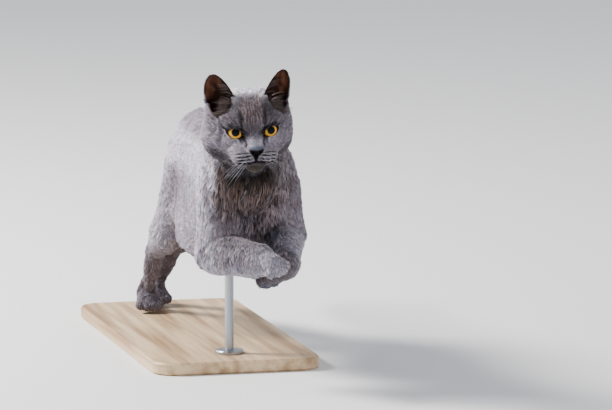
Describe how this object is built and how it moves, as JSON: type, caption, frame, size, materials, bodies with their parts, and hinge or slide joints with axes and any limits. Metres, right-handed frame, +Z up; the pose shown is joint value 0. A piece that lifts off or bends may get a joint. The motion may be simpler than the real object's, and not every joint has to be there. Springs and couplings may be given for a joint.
{
  "type": "cat",
  "caption": "Life-size still model of a short-haired blue-grey cat leaping forward, forelegs tucked, hind feet pushing off, held by a rod on a flat base.",
  "frame": {"origin": "centre of the stand base's underside", "axes": "+Z up; the cat heads along -Y, so +X is its left side"},
  "size_m": [0.19, 0.6973, 0.3537],
  "materials": {
    "coat": "dense short blue-grey fur, paler at the sunlit edges",
    "ear": "thin skin, dark brown inside with pale hairs, short grey fur outside",
    "eye": "wet amber iris with a dark pupil",
    "board": "satin oiled wood",
    "steel": "satin"
  },
  "bodies": {
    "root": {"head": "coat", "neck": "coat", "trunk": "coat", "tail_root": "coat", "tail_middle": "coat", "tail_tip": "coat", "upper_arm_left": "coat", "forearm_left": "coat", "forepaw_left": "coat", "thigh_left": "coat", "shank_left": "coat", "metatarsus_left": "coat", "hindpaw_left": "coat", "upper_arm_right": "coat", "forearm_right": "coat", "forepaw_right": "coat", "thigh_right": "coat", "shank_right": "coat", "metatarsus_right": "coat", "hindpaw_right": "coat", "ear_left": "ear", "eye_left": "eye", "ear_right": "ear", "eye_right": "eye", "stand_base": "board", "stand_rod": "steel"}
  },
  "joints": []
}
